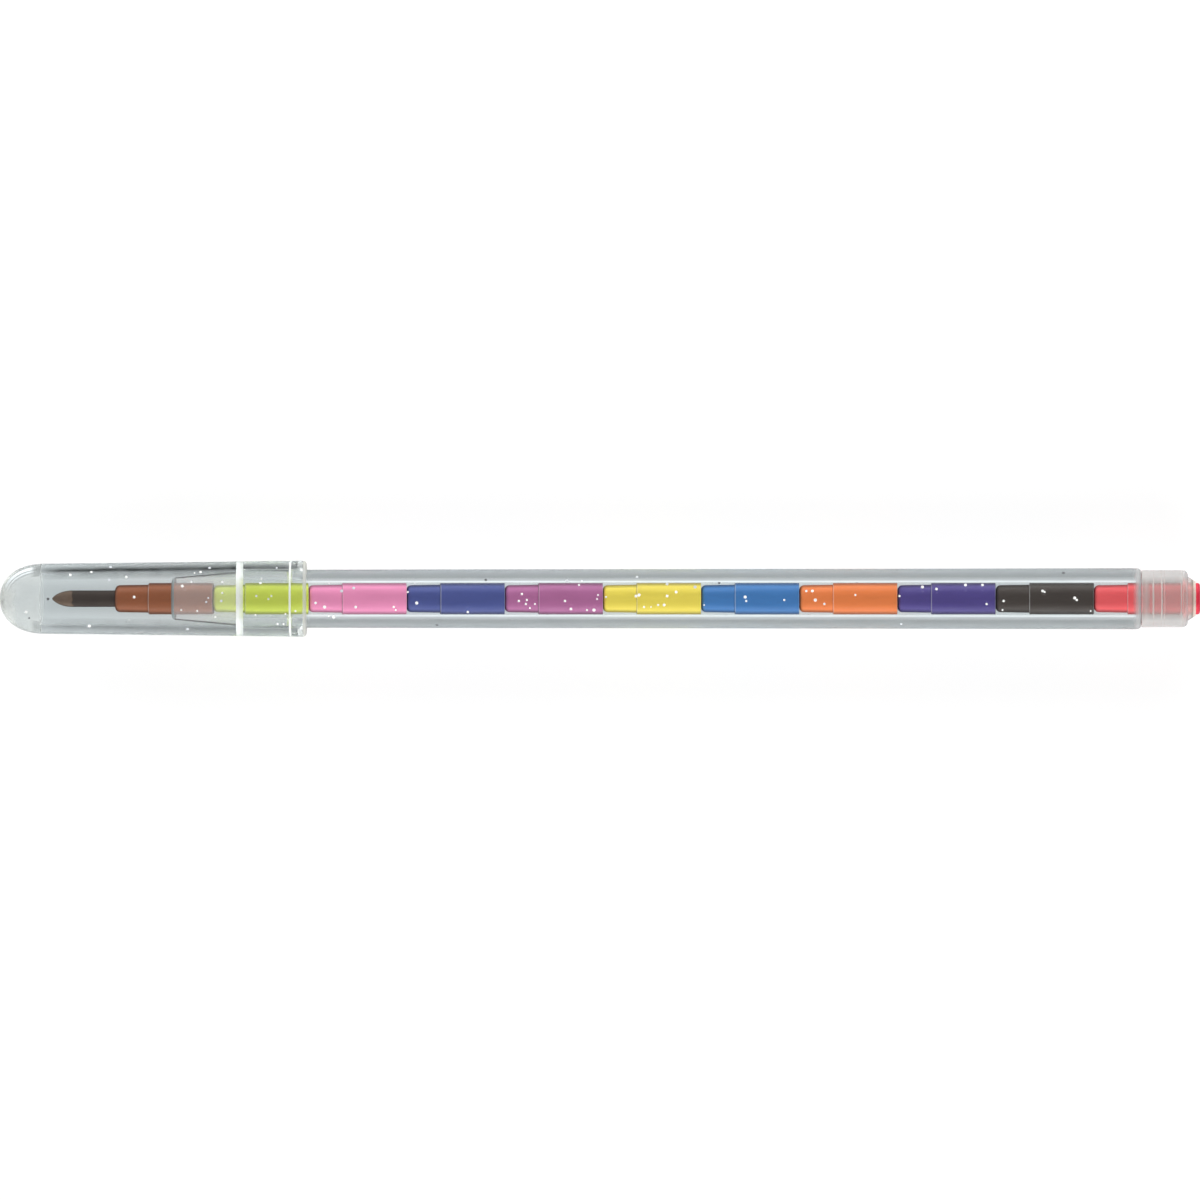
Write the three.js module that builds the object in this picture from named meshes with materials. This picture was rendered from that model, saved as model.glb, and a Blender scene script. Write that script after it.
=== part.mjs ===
// Stackable crayon: a clear barrel holds a row of short crayons, each with its wax point in the
// open tail of the one ahead. A clear cap covers the front point, and a frosted collar grips the
// last crayon. Worn at the front, a crayon is drawn out and pushed in again at the tail.
//
// Millimetres. Every piece is turned about one axis. Stations run along that axis, from the cap's
// closed end (0) to the tail. The last group lays the axis along +X, with the origin under the
// middle of the row, on the surface that it lies on.

import * as THREE from 'three';

// Crayons in their order from the nose to the tail, with the colours of sleeve and wax
const crayons = [
  { name: 'brown', sleeve: 0x915c3f, wax: 0x40352f },
  { name: 'lime', sleeve: 0xb4cb4e, wax: 0xa4bf3c },
  { name: 'pink', sleeve: 0xe593b8, wax: 0xdd7fab },
  { name: 'dark_blue', sleeve: 0x4d5f9e, wax: 0x34458a },
  { name: 'purple', sleeve: 0xac6f9a, wax: 0x93507f },
  { name: 'yellow', sleeve: 0xebd654, wax: 0xe6cd33 },
  { name: 'blue', sleeve: 0x427fbd, wax: 0x2a6bae },
  { name: 'orange', sleeve: 0xe48443, wax: 0xda702a },
  { name: 'violet', sleeve: 0x564b90, wax: 0x43387d },
  { name: 'black', sleeve: 0x4a4441, wax: 0x2b2725 },
  { name: 'red', sleeve: 0xd8424f, wax: 0xc42f3d },
];

// Wax point
const leadRadius = 1.1;
const leadExposed = 8.4;
const leadPointLength = 2.7;
const leadRootLength = 3.7;

// Sleeve: a slim front section that holds the wax, and a wider rear one with an open socket
const leadBoreClearance = 0.07;
const leadRootGap = 0.1;
const frontSectionLength = 4.45;
const frontWall = 0.7;
const frontDraft = 0.07;
const frontShoulderRound = 0.55;
const sectionStepRound = 0.12;
const webThickness = 0.4;
const socketClearance = 0.3;
const socketTipClearance = 0.35;
const socketWall = 0.7;
const socketMouthChamfer = 0.15;
const sleeveRearRound = 0.15;
const lastSleeveRearRound = 0.35;
const crayonGap = 0.1;
const lastSleeveExtra = 1.35;

// Barrel: a conical nose that grips the front crayon at its tip, a long tube, and a neck for the
// collar
const crayonStandOut = 7.6;
const noseLength = 8.9;
const noseBoreClearance = 0.08;
const noseTipWall = 0.62;
const noseTipRound = 0.4;
const noseGripLength = 1.6;
const noseMouthChamfer = 0.12;
const boreClearance = 0.52;
const boreDraft = 0.08;
const barrelWall = 1.24;
const barrelDraft = 0.2;
const shoulderLength = 0.65;
const shoulderRise = 0.22;
const barrelEndRound = 0.5;
const neckWall = 0.55;
const neckBeadHeight = 0.08;
const neckBeadWidth = 0.4;
const neckBeadOffsets = [0.75, 1.6, 2.8];
const neckEndRound = 0.15;

// Collar: snapped over the neck, with a gripping bore and a tapered lip round the last crayon
const collarLength = 6.15;
const collarWall = 0.4;
const collarBeadClearance = 0.07;
const collarEndWall = 0.7;
const collarEndRound = 0.75;
const collarSeatGap = 0.08;
const neckEndGap = 0.15;
const gripClearance = 0.08;
const lipLength = 1.05;
const lipBaseWall = 0.77;
const lipEndWall = 0.1;
const lipRound = 0.1;
const lastCrayonProud = 0.6;

// Cap: a thick domed end, a bore that widens in a step at the barrel's shoulder, and a snap bead
const capEndThickness = 5.4;
const capTipClearance = 1.4;
const capDomeLength = 6;
const capDomePower = 2.2;
const capCrayonClearance = 1.3;
const capEndWall = 1.27;
const capEndRound = 0.4;
const capOverlap = 18.1;
const capNoseFit = 0.08;
const capFit = 0.12;
const capStepFrontGap = 0.17;
const capStepRearGap = 0.11;
const capMouthWall = 1.09;
const capMouthRound = 0.5;
const capMouthChamferLength = 0.45;
const capMouthChamferDepth = 0.27;
const capBeadInset = 2.37;
const capBeadWidth = 0.53;
const capBeadFit = 0.06;

// Facets round each turned piece, and steps on curved stretches of its profile
const tubeFacets = 32;
const sleeveFacets = 20;
const leadFacets = 16;
const roundSteps = 3;
const smallRound = 0.2;
const domeSteps = 8;
const pointSteps = 4;
const roundReachLimit = 0.9;

// Sleeve sizes that follow the wax point
const leadBoreRadius = leadRadius + leadBoreClearance;
const frontRadius = leadBoreRadius + frontWall;
const socketRadius = leadRadius + socketClearance;
const sleeveRadius = socketRadius + socketWall;
const leadSeatDepth = leadRootLength + leadRootGap;
const socketFloor = leadSeatDepth + webThickness;
const sleeveLength = socketFloor + leadExposed + socketTipClearance;
const crayonPitch = sleeveLength + crayonGap;

// Barrel and collar radii that follow the sleeve
const noseBoreRadius = sleeveRadius + noseBoreClearance;
const noseTipRadius = noseBoreRadius + noseTipWall;
const boreFrontRadius = sleeveRadius + boreClearance;
const boreRearRadius = boreFrontRadius + boreDraft;
const barrelFrontRadius = boreFrontRadius + barrelWall;
const barrelRearRadius = barrelFrontRadius + barrelDraft;
const noseEndRadius = barrelFrontRadius - shoulderRise;
const neckRadius = boreRearRadius + neckWall;
const neckBeadRadius = neckRadius + neckBeadHeight;
const collarBoreRadius = neckBeadRadius + collarBeadClearance;
const collarRadius = collarBoreRadius + collarWall;
const gripRadius = sleeveRadius + gripClearance;
const lipBaseRadius = gripRadius + lipBaseWall;
const lipEndRadius = gripRadius + lipEndWall;

// Stations along the axis
const frontPointStation = capEndThickness + capTipClearance;
const firstCrayonStation = frontPointStation + leadExposed;
const noseStation = firstCrayonStation + crayonStandOut;
const noseEndStation = noseStation + noseLength;
const barrelStation = noseEndStation + shoulderLength;
const lastCrayonStation = firstCrayonStation + (crayons.length - 1) * crayonPitch;
const tailStation = lastCrayonStation + sleeveLength + lastSleeveExtra;
const lipEndStation = tailStation - lastCrayonProud;
const collarEndStation = lipEndStation - lipLength;
const collarStation = collarEndStation - collarLength;
const barrelEndStation = collarStation - collarSeatGap;
const collarFloorStation = collarEndStation - collarEndWall;
const neckEndStation = collarFloorStation - neckEndGap;
const capMouthStation = noseStation + capOverlap;
const capBeadStation = capMouthStation - capBeadInset;

// Cap radii that follow the barrel
const capEndBoreRadius = sleeveRadius + capCrayonClearance;
const capFrontRadius = capEndBoreRadius + capEndWall;
const capStepRadius = noseEndRadius + capNoseFit;
const capBoreRadius = barrelFrontRadius + capFit;
const capMouthRadius = capBoreRadius + capMouthWall;
const capBeadRadius = barrelRadiusAt(capBeadStation) + capBeadFit;

// Outside of the barrel's long taper at a station
function barrelRadiusAt(station) {
  const share = (station - barrelStation) / (barrelEndStation - barrelStation);
  return barrelFrontRadius + barrelDraft * share;
}

// One corner of a turned profile, rounded where round is given
function corner(station, radius, round = 0) {
  return { point: new THREE.Vector2(radius, station), round };
}

// Points of an arc that rounds a corner between its two neighbours, tangent to both sides.
// A small round is a plain chamfer, and none reaches past its shorter side.
function roundedCorner(before, point, after, round) {
  const steps = round < smallRound ? 1 : roundSteps;
  const sideBefore = before.clone().sub(point);
  const sideAfter = after.clone().sub(point);
  const halfAngle = sideBefore.angleTo(sideAfter) / 2;
  const longest = roundReachLimit * Math.min(sideBefore.length(), sideAfter.length());
  const reach = Math.min(round / Math.tan(halfAngle), longest);
  sideBefore.normalize();
  sideAfter.normalize();
  const turn = Math.sign(sideAfter.cross(sideBefore)) * (Math.PI - 2 * halfAngle);
  const middle = sideBefore.clone().add(sideAfter).normalize();
  const centre = point.clone().addScaledVector(middle, reach / Math.cos(halfAngle));
  const start = point.clone().addScaledVector(sideBefore, reach);
  const points = [];
  for (let step = 0; step <= steps; step += 1) {
    points.push(start.clone().rotateAround(centre, (turn * step) / steps));
  }
  return points;
}

// Profile points from a list of corners; the first and last stay sharp
function outline(corners) {
  return corners.flatMap(({ point, round }, index) => {
    if (round === 0) {
      return [point];
    }
    return roundedCorner(corners[index - 1].point, point, corners[index + 1].point, round);
  });
}

// A piece turned from its profile, with a flat and not an edge towards the ground
function turnedPiece(name, profile, facets, material) {
  const geometry = new THREE.LatheGeometry(profile, facets, Math.PI / facets);
  const piece = new THREE.Mesh(geometry, material);
  piece.name = name;
  return piece;
}

function clearPlastic() {
  return new THREE.MeshStandardMaterial({
    color: 0xdce4e3,
    roughness: 0.08,
    metalness: 0,
    transparent: true,
    opacity: 0.3,
  });
}

function frostedPlastic() {
  return new THREE.MeshStandardMaterial({
    color: 0xe3e0dc,
    roughness: 0.55,
    metalness: 0,
    transparent: true,
    opacity: 0.7,
  });
}

function sleevePlastic(colour) {
  return new THREE.MeshStandardMaterial({ color: colour, roughness: 0.38, metalness: 0 });
}

function wax(colour) {
  return new THREE.MeshStandardMaterial({ color: colour, roughness: 0.6, metalness: 0 });
}

// Blunt dome of the cap, from the axis to the cap's side
function domePoints() {
  const power = 2 / capDomePower;
  const points = [];
  for (let step = 0; step < domeSteps; step += 1) {
    const angle = (step / domeSteps) * (Math.PI / 2);
    const station = capDomeLength * (1 - Math.cos(angle) ** power);
    points.push(new THREE.Vector2(capFrontRadius * Math.sin(angle) ** power, station));
  }
  return points;
}

function makeCap() {
  const stepStart = noseEndStation - capStepFrontGap;
  const stepEnd = barrelStation + capStepRearGap;
  const halfBead = capBeadWidth / 2;
  const chamferStation = capMouthStation - capMouthChamferLength;
  const wall = outline([
    corner(capDomeLength, capFrontRadius),
    corner(capMouthStation, capMouthRadius, capMouthRound),
    corner(capMouthStation, capBoreRadius + capMouthChamferDepth),
    corner(chamferStation, capBoreRadius),
    corner(capBeadStation + halfBead, capBoreRadius),
    corner(capBeadStation, capBeadRadius, halfBead / 2),
    corner(capBeadStation - halfBead, capBoreRadius),
    corner(stepEnd, capBoreRadius),
    corner(stepStart, capStepRadius),
    corner(capEndThickness, capEndBoreRadius, capEndRound),
    corner(capEndThickness, 0),
  ]);
  return turnedPiece('cap', [...domePoints(), ...wall], tubeFacets, clearPlastic());
}

// Small snap beads round the neck, which hold the collar
function neckBeads() {
  return neckBeadOffsets.flatMap((offset) => {
    const station = barrelEndStation + offset;
    return [
      corner(station - neckBeadWidth / 2, neckRadius),
      corner(station, neckBeadRadius, neckBeadHeight),
      corner(station + neckBeadWidth / 2, neckRadius),
    ];
  });
}

function makeBarrel() {
  const start = corner(noseStation + noseMouthChamfer, noseBoreRadius);
  const profile = outline([
    start,
    corner(noseStation, noseBoreRadius + noseMouthChamfer),
    corner(noseStation, noseTipRadius, noseTipRound),
    corner(noseEndStation, noseEndRadius),
    corner(barrelStation, barrelFrontRadius),
    corner(barrelEndStation, barrelRearRadius, barrelEndRound),
    corner(barrelEndStation, neckRadius),
    ...neckBeads(),
    corner(neckEndStation, neckRadius, neckEndRound),
    corner(neckEndStation, boreRearRadius),
    corner(noseEndStation, boreFrontRadius),
    corner(noseStation + noseGripLength, noseBoreRadius),
    start,
  ]);
  return turnedPiece('barrel', profile, tubeFacets, clearPlastic());
}

function makeTailCollar() {
  const start = corner(collarStation, collarBoreRadius);
  const profile = outline([
    start,
    corner(collarStation, collarRadius),
    corner(collarEndStation, collarRadius, collarEndRound),
    corner(collarEndStation, lipBaseRadius),
    corner(lipEndStation, lipEndRadius, lipRound),
    corner(lipEndStation, gripRadius),
    corner(collarFloorStation, gripRadius),
    corner(collarFloorStation, collarBoreRadius),
    start,
  ]);
  return turnedPiece('tail_collar', profile, tubeFacets, frostedPlastic());
}

// Stations of a sleeve start at its front face
function makeSleeve(name, length, rearRound, colour) {
  const profile = outline([
    corner(leadSeatDepth, 0),
    corner(leadSeatDepth, leadBoreRadius),
    corner(0, leadBoreRadius),
    corner(0, frontRadius - frontDraft, frontShoulderRound),
    corner(frontSectionLength, frontRadius),
    corner(frontSectionLength, sleeveRadius, sectionStepRound),
    corner(length, sleeveRadius, rearRound),
    corner(length, socketRadius + socketMouthChamfer),
    corner(length - socketMouthChamfer, socketRadius),
    corner(socketFloor, socketRadius),
    corner(socketFloor, 0),
  ]);
  return turnedPiece(name, profile, sleeveFacets, sleevePlastic(colour));
}

// Ogive point: an arc from the tip that ends tangent to the wax cylinder
function pointPoints() {
  const arcRadius = (leadRadius ** 2 + leadPointLength ** 2) / (2 * leadRadius);
  const points = [];
  for (let step = 0; step <= pointSteps; step += 1) {
    const toShoulder = leadPointLength * (1 - step / pointSteps);
    const radius = leadRadius - arcRadius + Math.sqrt(arcRadius ** 2 - toShoulder ** 2);
    points.push(new THREE.Vector2(radius, leadPointLength - toShoulder - leadExposed));
  }
  points[0].x = 0;
  return points;
}

// Stations of a lead start at its sleeve's front face, with the point in front of it
function makeLead(name, colour) {
  const root = outline([corner(leadRootLength, leadRadius), corner(leadRootLength, 0)]);
  return turnedPiece(name, [...pointPoints(), ...root], leadFacets, wax(colour));
}

function makeCrayon(index) {
  const { name, sleeve, wax: waxColour } = crayons[index];
  const label = `${String(index + 1).padStart(2, '0')}_${name}`;
  const isLast = index === crayons.length - 1;
  const length = sleeveLength + (isLast ? lastSleeveExtra : 0);
  const rearRound = isLast ? lastSleeveRearRound : sleeveRearRound;
  const crayon = new THREE.Group();
  crayon.add(makeSleeve(`sleeve_${label}`, length, rearRound, sleeve));
  crayon.add(makeLead(`lead_${label}`, waxColour));
  crayon.position.y = firstCrayonStation + index * crayonPitch;
  return crayon;
}

const row = new THREE.Group();
row.add(makeCap());
row.add(makeBarrel());
row.add(makeTailCollar());
for (let index = 0; index < crayons.length; index += 1) {
  row.add(makeCrayon(index));
}

// The axis turns from +Y to +X, and the cap's mouth, the widest place, rests on the ground
row.rotation.z = -Math.PI / 2;
row.position.x = -tailStation / 2;
row.position.z = capMouthRadius * Math.cos(Math.PI / tubeFacets);

const stackableCrayon = new THREE.Group();
stackableCrayon.add(row);

export default stackableCrayon;
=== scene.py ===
# Stackable crayon: clear capped barrel, eleven short crayons in a row, frosted collar at the tail
import math
import random

import bmesh
import bpy
from mathutils import Euler, Matrix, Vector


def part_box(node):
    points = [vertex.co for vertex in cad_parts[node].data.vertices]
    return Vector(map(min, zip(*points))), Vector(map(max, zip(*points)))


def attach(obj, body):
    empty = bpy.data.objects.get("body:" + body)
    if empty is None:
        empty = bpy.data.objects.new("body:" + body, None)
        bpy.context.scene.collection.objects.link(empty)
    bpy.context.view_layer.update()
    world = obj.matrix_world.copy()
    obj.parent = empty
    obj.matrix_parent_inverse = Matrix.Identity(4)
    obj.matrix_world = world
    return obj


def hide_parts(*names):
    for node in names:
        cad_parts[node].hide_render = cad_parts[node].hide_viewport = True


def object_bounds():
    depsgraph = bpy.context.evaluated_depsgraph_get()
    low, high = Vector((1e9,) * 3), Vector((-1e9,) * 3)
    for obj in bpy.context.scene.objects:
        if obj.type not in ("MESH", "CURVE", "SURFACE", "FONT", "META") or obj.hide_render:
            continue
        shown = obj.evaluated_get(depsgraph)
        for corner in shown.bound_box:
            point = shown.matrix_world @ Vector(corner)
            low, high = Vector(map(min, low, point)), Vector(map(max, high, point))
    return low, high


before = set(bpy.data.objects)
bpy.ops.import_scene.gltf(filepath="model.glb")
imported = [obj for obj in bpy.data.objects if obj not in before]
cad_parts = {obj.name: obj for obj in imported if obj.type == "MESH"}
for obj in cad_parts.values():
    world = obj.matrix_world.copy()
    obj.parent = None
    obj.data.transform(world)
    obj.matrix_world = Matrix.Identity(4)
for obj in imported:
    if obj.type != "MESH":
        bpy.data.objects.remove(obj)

mm = 0.001
white = (1.0, 1.0, 1.0)
cadLow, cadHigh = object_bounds()
capLow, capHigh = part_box("cap")
barrelLow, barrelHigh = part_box("barrel")
collarLow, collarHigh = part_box("tail_collar")
axisHeight = (capLow.z + capHigh.z) / 2
photoSet = {"width": 1200, "axisRow": 598.7}  # the photo in its pixels, and the row of the axis
meshSet = {"weld": 0.0005, "onRing": 0.004, "hair": 0.01, "sharpAngle": 32}  # millimetres, degrees
print("frame loaded, axis at", round(axisHeight / mm, 3), "mm")


# small helpers

def newMaterial(name):
    material = bpy.data.materials.new(name)
    material.use_nodes = True
    material.node_tree.nodes.clear()
    return material, material.node_tree.nodes, material.node_tree.links


def addNode(nodes, kind, values=None, **settings):
    node = nodes.new(kind)
    for key, value in settings.items():
        setattr(node, key, value)
    for key, value in (values or {}).items():
        node.inputs[key].default_value = value
    return node


def rgba(colour):
    return (colour[0], colour[1], colour[2], 1.0)


def linear(red, green, blue):
    # a colour as a picture shows it, 0 to 255, to the light that a shader works with
    def one(value):
        share = value / 255
        return share / 12.92 if share <= 0.04045 else ((share + 0.055) / 1.055) ** 2.4
    return (one(red), one(green), one(blue))


def spinOutline(bm, points, segments, closed):
    verts = [bm.verts.new((x, 0, radius)) for x, radius in points]
    pairs = list(zip(verts, verts[1:]))
    if closed:
        pairs.append((verts[-1], verts[0]))
    edges = [bm.edges.new(pair) for pair in pairs]
    bmesh.ops.spin(bm, geom=verts + edges, cent=(0, 0, 0), axis=(1, 0, 0), dvec=(0, 0, 0),
                   angle=math.tau, steps=segments, use_merge=True)
    bmesh.ops.remove_doubles(bm, verts=bm.verts, dist=meshSet["weld"] * mm)
    bmesh.ops.recalc_face_normals(bm, faces=bm.faces)


def ringEdges(bm, x, radius):
    # the edges that run round the axis at one place of the outline
    near = meshSet["onRing"] * mm

    def onRing(vert):
        return abs(vert.co.x - x) < near and abs(math.hypot(vert.co.y, vert.co.z) - radius) < near
    return [edge for edge in bm.edges if onRing(edge.verts[0]) and onRing(edge.verts[1])]


def roundRing(bm, x, radius, size, steps):
    bmesh.ops.bevel(bm, geom=ringEdges(bm, x, radius), offset=size, offset_type="OFFSET",
                    segments=steps, profile=0.5, affect="EDGES", clamp_overlap=True, material=-1)


def turned(name, corners, materials, segments=96, closed=True, roundSteps=4):
    # corners: place along the axis, radius, and how much that edge is rounded, in millimetres
    bm = bmesh.new()
    spinOutline(bm, [(x * mm, radius * mm) for x, radius, size in corners], segments, closed)
    for x, radius, size in corners:
        if size > 0:
            roundRing(bm, x * mm, radius * mm, size * mm, roundSteps)
    return finishMesh(name, bm, materials)


def finishMesh(name, bm, materials):
    bmesh.ops.translate(bm, verts=bm.verts, vec=(0, 0, axisHeight))
    for face in bm.faces:
        face.smooth = True
    mesh = bpy.data.meshes.new(name)
    bm.to_mesh(mesh)
    bm.free()
    mesh.set_sharp_from_angle(angle=math.radians(meshSet["sharpAngle"]))
    for material in materials:
        mesh.materials.append(material)
    piece = bpy.data.objects.new(name, mesh)
    bpy.context.scene.collection.objects.link(piece)
    return piece


def paintFaces(piece, material, test):
    # faces whose middle passes the test, in millimetres along and out from the axis
    slotNumber = piece.data.materials.find(material.name)
    for face in piece.data.polygons:
        middle = face.center
        if test(middle.x / mm, math.hypot(middle.y, middle.z - axisHeight) / mm):
            face.material_index = slotNumber


# clear and frosted plastic

clearLook = {
    "tint": (0.975, 0.985, 0.985),
    "roughness": 0.015,
    "ior": 1.5,
    "wallTint": (0.95, 1.01, 1.03),
    "grainScale": 700.0,
    "rippleScale": 260.0,
    "rippleDetail": 1.0,
    "rippleStrength": 0.12,
    "rippleDepth": 0.0015,
    "cloudScale": 900.0,
    "cloudStretch": 0.35,
    "lampTint": (0.97, 0.98, 0.98),
}

hazyLook = {
    "bodyTint": (0.985, 0.99, 0.99),
    "frostTint": (0.82, 0.83, 0.82),
    "frostIor": 1.35,
    "unevenness": 0.07,
    "lampTint": (0.96, 0.97, 0.97),
}

# painted shade and highlight on each wall, in place of the bands that bent light shows, by the slant at which
# that light meets the bore from inside the plastic, as one minus the cosine of that angle: where it is, how
# much, how bright
capWallShading = [
    (0.12, 0.0, 0.5), (0.15, 0.2, 0.06), (0.184, 0.31, 0.06), (0.222, 0.4, 0.06), (0.25, 0.42, 0.05),
    (0.27, 0.62, 0.03), (0.289, 0.88, 0.02), (0.315, 0.93, 0.02), (0.343, 0.7, 0.03), (0.373, 0.52, 0.05),
    (0.41, 0.33, 0.08), (0.45, 0.12, 0.3), (0.6, 0.25, 0.8)]
capRearWallShading = [
    (0.225, 0.0, 0.1), (0.24, 0.12, 0.05), (0.257, 0.58, 0.04), (0.278, 0.7, 0.03), (0.3, 0.54, 0.05),
    (0.324, 0.42, 0.06), (0.349, 0.33, 0.08), (0.377, 0.1, 0.3), (0.405, 0.2, 0.75), (0.45, 0.3, 0.8)]
barrelWallShading = [
    (0.14, 0.0, 0.9), (0.165, 0.35, 1.0), (0.18, 0.6, 1.0), (0.2, 0.45, 0.75), (0.225, 0.55, 0.5),
    (0.245, 0.65, 0.4), (0.29, 0.78, 0.29), (0.34, 0.8, 0.27), (0.42, 0.8, 0.29), (0.55, 0.78, 0.35),
    (0.75, 0.7, 0.41), (0.95, 0.5, 0.5)]
# the same on the outside of the solid dome: a painted highlight streak, and a band of painted shade that
# leads to the bore's
domeHighlightStreak = [
    (0.31, 0.0, 0.9), (0.35, 0.4, 0.12), (0.375, 0.5, 1.0), (0.42, 0.7, 1.0), (0.45, 0.55, 0.1),
    (0.475, 0.85, 1.0), (0.6, 0.85, 1.0), (0.64, 0.3, 0.3), (0.7, 0.0, 0.5)]
domeShadeBand = [
    (0.23, 0.0, 0.1), (0.25, 0.4, 0.1), (0.33, 0.42, 0.1), (0.41, 0.45, 0.1), (0.45, 0.56, 0.1),
    (0.5, 0.5, 0.1), (0.6, 0.4, 0.1), (0.7, 0.3, 0.1), (0.85, 0.2, 0.3)]


def fillRamp(ramp, stops, tint=white):
    # stops: where along the ramp, and the grey there
    elements = ramp.color_ramp.elements
    while len(elements) < len(stops):
        elements.new(0.5)
    for element, (position, grey) in zip(elements, sorted(stops)):
        element.position = position
        element.color = (grey * tint[0], grey * tint[1], grey * tint[2], 1.0)


def stretched(nodes, links, coords, along):
    # the piece's own coordinates, for a pattern that is drawn out along the axis
    mapping = addNode(nodes, "ShaderNodeMapping", {"Scale": (along, 1.0, 1.0)})
    links.new(coords.outputs["Object"], mapping.inputs["Vector"])
    return mapping.outputs["Vector"]


def noiseBetween(nodes, links, vector, scale, low, high, detail=3.0):
    # a noise pattern whose value runs from low to high
    noise = addNode(nodes, "ShaderNodeTexNoise", {"Scale": scale, "Detail": detail})
    links.new(vector, noise.inputs["Vector"])
    spread = addNode(nodes, "ShaderNodeMapRange", {
        "From Min": 0.3, "From Max": 0.7, "To Min": low, "To Max": high})
    links.new(noise.outputs["Fac"], spread.inputs["Value"])
    return spread.outputs["Result"]


def placeRamp(nodes, links, coords, axis, start, end, low=0.0, high=1.0):
    # a value that runs from low to high between two places on the piece
    place = addNode(nodes, "ShaderNodeSeparateXYZ")
    links.new(coords.outputs["Object"], place.inputs[0])
    ramp = addNode(nodes, "ShaderNodeMapRange", {
        "From Min": start, "From Max": end, "To Min": low, "To Max": high})
    links.new(place.outputs[axis], ramp.inputs["Value"])
    return ramp.outputs["Result"]


def shadedColour(nodes, links, colour, shade):
    # one colour, brighter and darker as a pattern says
    scaled = addNode(nodes, "ShaderNodeVectorMath", operation="SCALE")
    scaled.inputs[0].default_value = colour
    links.new(shade, scaled.inputs["Scale"])
    return scaled.outputs["Vector"]


def multiplied(nodes, links, first, second):
    product = addNode(nodes, "ShaderNodeMath", operation="MULTIPLY")
    links.new(first, product.inputs[0])
    links.new(second, product.inputs[1])
    return product.outputs[0]


def mixedShaders(nodes, links, share, first, second):
    mix = addNode(nodes, "ShaderNodeMixShader")
    links.new(share, mix.inputs[0])
    links.new(first, mix.inputs[1])
    links.new(second, mix.inputs[2])
    return mix.outputs[0]


def finishSurface(nodes, links, shader):
    output = addNode(nodes, "ShaderNodeOutputMaterial")
    links.new(shader, output.inputs["Surface"])


def lampsPassThrough(nodes, links, shader, tint):
    # lamps and the light that bounces inside reach the crayons through the clear wall
    path = addNode(nodes, "ShaderNodeLightPath")
    either = addNode(nodes, "ShaderNodeMath", operation="MAXIMUM")
    links.new(path.outputs["Is Shadow Ray"], either.inputs[0])
    links.new(path.outputs["Is Diffuse Ray"], either.inputs[1])
    through = addNode(nodes, "ShaderNodeBsdfTransparent", {"Color": rgba(tint)})
    return mixedShaders(nodes, links, either.outputs[0], shader, through.outputs[0])


def clearGlass(nodes, links, coords):
    look = clearLook
    ripple = addNode(nodes, "ShaderNodeTexNoise", {
        "Scale": look["rippleScale"], "Detail": look["rippleDetail"]})
    links.new(coords.outputs["Object"], ripple.inputs["Vector"])
    bump = addNode(nodes, "ShaderNodeBump", {
        "Strength": look["rippleStrength"], "Distance": look["rippleDepth"] * mm})
    links.new(ripple.outputs["Fac"], bump.inputs["Height"])
    shader = addNode(nodes, "ShaderNodeBsdfPrincipled", {
        "Base Color": rgba(look["tint"]),
        "Roughness": look["roughness"],
        "IOR": look["ior"],
        "Transmission Weight": 1.0,
    })
    links.new(bump.outputs["Normal"], shader.inputs["Normal"])
    return shader.outputs[0]


def roundTheAxis(nodes, links):
    # the direction round the bore: a slant along the axis then doesn't spread the painted shade over the wall
    geometry = addNode(nodes, "ShaderNodeNewGeometry")
    sideways = addNode(nodes, "ShaderNodeVectorMath", operation="CROSS_PRODUCT")
    sideways.inputs[0].default_value = (1.0, 0.0, 0.0)
    links.new(geometry.outputs["Normal"], sideways.inputs[1])
    return sideways.outputs["Vector"]


def wallShadingRamps(nodes, links, shading):
    # share and tone of the painted shade and highlight by the slant of the light
    facing = addNode(nodes, "ShaderNodeLayerWeight", {"Blend": 0.5})
    wall = shading["wall"]
    if shading["fromInside"]:
        # measured round the axis, a slant gives one minus its sine in place of its cosine
        links.new(roundTheAxis(nodes, links), facing.inputs["Normal"])
        wall = [(1 - math.sqrt(place * (2 - place)), much, bright) for place, much, bright in wall]
    share = addNode(nodes, "ShaderNodeValToRGB")
    fillRamp(share, [(place, much) for place, much, bright in wall])
    tone = addNode(nodes, "ShaderNodeValToRGB")
    fillRamp(tone, [(place, bright) for place, much, bright in wall], clearLook["wallTint"])
    for ramp in (share, tone):
        links.new(facing.outputs["Facing"], ramp.inputs["Fac"])
    return share.outputs["Color"], tone.outputs["Color"]


def paintedWallShading(nodes, links, coords, shader, shading):
    # painted shade and highlight: the wall dims or brightens towards its edges, more or less on its two
    # sides, and only over a part of its length
    amount, tone = wallShadingRamps(nodes, links, shading)
    grain = stretched(nodes, links, coords, shading["grainAlong"])
    spread = shading["spread"]
    uneven = noiseBetween(nodes, links, grain, clearLook["grainScale"], 1 - spread, 1 + spread)
    across = placeRamp(nodes, links, coords, "Y", *shading["sideSpan"], *shading["sides"])
    along = placeRamp(nodes, links, coords, "X", *shading["along"])
    for factor in (uneven, across, along):
        amount = multiplied(nodes, links, amount, factor)
    if shading["fromInside"]:
        side = addNode(nodes, "ShaderNodeNewGeometry")
        amount = multiplied(nodes, links, amount, side.outputs["Backfacing"])
    dull = addNode(nodes, "ShaderNodeBsdfDiffuse")
    links.new(tone, dull.inputs["Color"])
    return mixedShaders(nodes, links, amount, shader, dull.outputs[0])


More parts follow.
